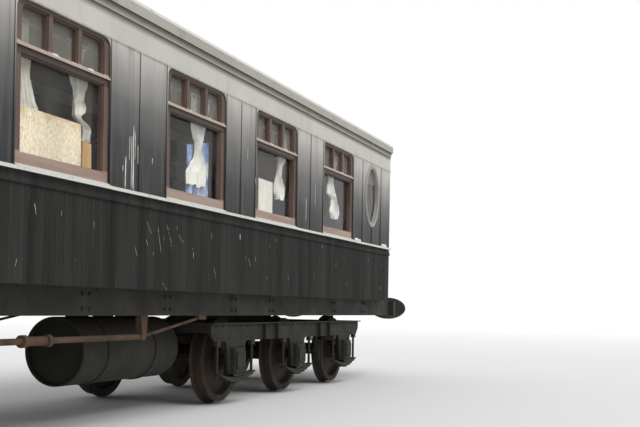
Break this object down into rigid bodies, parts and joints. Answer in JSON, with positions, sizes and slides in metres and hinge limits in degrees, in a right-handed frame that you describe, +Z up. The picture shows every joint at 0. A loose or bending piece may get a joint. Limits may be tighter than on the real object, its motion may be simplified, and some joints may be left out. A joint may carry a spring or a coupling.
{
  "type": "twelve-wheel parlour railway coach",
  "caption": "Wooden-bodied railway coach with canted end vestibules, wide saloon windows, oval end windows and six-wheel bogies.",
  "frame": {"origin": "middle of the coach, on the level of the wheels' flange tips", "axes": "+X along the coach to end a, +Y to its left side, +Z up"},
  "size_m": [19.45, 2.7, 4.0323],
  "materials": {
    "body_black": "glossy black paint, weathered",
    "cornice_grey": "grey paint, weathered",
    "roof_cream": "pale paint, chalky",
    "weathered_board": "weathered paint",
    "rail_white": "white paint, dusty",
    "frame_brown": "brown paint, satin",
    "clear_glass": "clear",
    "ring_grey": "worn paint",
    "floor_wood": "worn boards",
    "panel_wood": "varnished",
    "table_wood": "varnished",
    "seat_fabric": "blue moquette",
    "curtain_fabric": "off-white",
    "rod_brass": "dull",
    "chipboard": "raw board",
    "chassis_black": "black, greasy and dusty",
    "rusty_iron": "rusted",
    "buffer_steel": "weathered bare metal",
    "wheel_iron": "brown rust and grease"
  },
  "bodies": {
    "root": {"lower_side_left": "body_black", "lower_side_right": "body_black", "upper_side_left": "body_black", "upper_side_right": "body_black", "end_wall_a": "body_black", "end_wall_b": "body_black", "cornices": "cornice_grey", "roof": "roof_cream", "roof_vents": "roof_cream", "roof_end_boards": "weathered_board", "waist_rails": "rail_white", "window_frames_left": "frame_brown", "window_frames_right": "frame_brown", "side_glass": "clear_glass", "oval_rings": "ring_grey", "floor": "floor_wood", "partitions": "panel_wood", "tables": "table_wood", "armchairs": "seat_fabric", "curtains": "curtain_fabric", "curtain_rods": "rod_brass", "storm_board": "chipboard", "underframe": "chassis_black", "trusses": "rusty_iron", "tanks": "chassis_black", "battery_box": "chassis_black", "buffers": "buffer_steel", "draw_gear": "chassis_black"},
    "bogie_a": {"bogie_a_frame": "chassis_black", "bogie_a_bolster": "chassis_black", "bogie_a_axleboxes": "chassis_black", "bogie_a_springs": "chassis_black", "bogie_a_brakes": "chassis_black"},
    "wheelset_a1": {"wheelset_a1": "wheel_iron"},
    "wheelset_a2": {"wheelset_a2": "wheel_iron"},
    "wheelset_a3": {"wheelset_a3": "wheel_iron"},
    "bogie_b": {"bogie_b_frame": "chassis_black", "bogie_b_bolster": "chassis_black", "bogie_b_axleboxes": "chassis_black", "bogie_b_springs": "chassis_black", "bogie_b_brakes": "chassis_black"},
    "wheelset_b1": {"wheelset_b1": "wheel_iron"},
    "wheelset_b2": {"wheelset_b2": "wheel_iron"},
    "wheelset_b3": {"wheelset_b3": "wheel_iron"},
    "entrance_a_right": {"entrance_a_right_door": "body_black", "entrance_a_right_glass": "clear_glass"},
    "entrance_a_left": {"entrance_a_left_door": "body_black", "entrance_a_left_glass": "clear_glass"},
    "gangway_a": {"gangway_a_door": "body_black", "gangway_a_glass": "clear_glass"},
    "entrance_b_right": {"entrance_b_right_door": "body_black", "entrance_b_right_glass": "clear_glass"},
    "entrance_b_left": {"entrance_b_left_door": "body_black", "entrance_b_left_glass": "clear_glass"},
    "gangway_b": {"gangway_b_door": "body_black", "gangway_b_glass": "clear_glass"}
  },
  "joints": [
    {"name": "bogie_a_swing", "type": "hinge", "parent": "root", "child": "bogie_a", "pos_m": [5.35, 0, 1], "axis": [0, 0, 1], "range_deg": [-4, 4]},
    {"name": "wheelset_a1_roll", "type": "hinge", "parent": "bogie_a", "child": "wheelset_a1", "pos_m": [3.57, 0, 0.487], "axis": [0, 1, 0], "continuous": true},
    {"name": "wheelset_a2_roll", "type": "hinge", "parent": "bogie_a", "child": "wheelset_a2", "pos_m": [5.35, 0, 0.487], "axis": [0, 1, 0], "continuous": true},
    {"name": "wheelset_a3_roll", "type": "hinge", "parent": "bogie_a", "child": "wheelset_a3", "pos_m": [7.13, 0, 0.487], "axis": [0, 1, 0], "continuous": true},
    {"name": "bogie_b_swing", "type": "hinge", "parent": "root", "child": "bogie_b", "pos_m": [-5.35, 0, 1], "axis": [0, 0, 1], "range_deg": [-4, 4]},
    {"name": "wheelset_b1_roll", "type": "hinge", "parent": "bogie_b", "child": "wheelset_b1", "pos_m": [-3.57, 0, 0.487], "axis": [0, 1, 0], "continuous": true},
    {"name": "wheelset_b2_roll", "type": "hinge", "parent": "bogie_b", "child": "wheelset_b2", "pos_m": [-5.35, 0, 0.487], "axis": [0, 1, 0], "continuous": true},
    {"name": "wheelset_b3_roll", "type": "hinge", "parent": "bogie_b", "child": "wheelset_b3", "pos_m": [-7.13, 0, 0.487], "axis": [0, 1, 0], "continuous": true},
    {"name": "entrance_a_right_open", "type": "hinge", "parent": "root", "child": "entrance_a_right", "pos_m": [8.40274, -1.11509, 2.2], "axis": [0, 0, 1], "range_deg": [0, 80]},
    {"name": "entrance_a_left_open", "type": "hinge", "parent": "root", "child": "entrance_a_left", "pos_m": [8.40274, 1.11509, 2.2], "axis": [0, 0, -1], "range_deg": [0, 80]},
    {"name": "gangway_a_open", "type": "hinge", "parent": "root", "child": "gangway_a", "pos_m": [9.08, -0.45, 2.2], "axis": [0, 0, 1], "range_deg": [0, 90]},
    {"name": "entrance_b_right_open", "type": "hinge", "parent": "root", "child": "entrance_b_right", "pos_m": [-8.40274, 1.11509, 2.2], "axis": [0, 0, 1], "range_deg": [0, 80]},
    {"name": "entrance_b_left_open", "type": "hinge", "parent": "root", "child": "entrance_b_left", "pos_m": [-8.40274, -1.11509, 2.2], "axis": [0, 0, -1], "range_deg": [0, 80]},
    {"name": "gangway_b_open", "type": "hinge", "parent": "root", "child": "gangway_b", "pos_m": [-9.08, 0.45, 2.2], "axis": [0, 0, 1], "range_deg": [0, 90]}
  ]
}
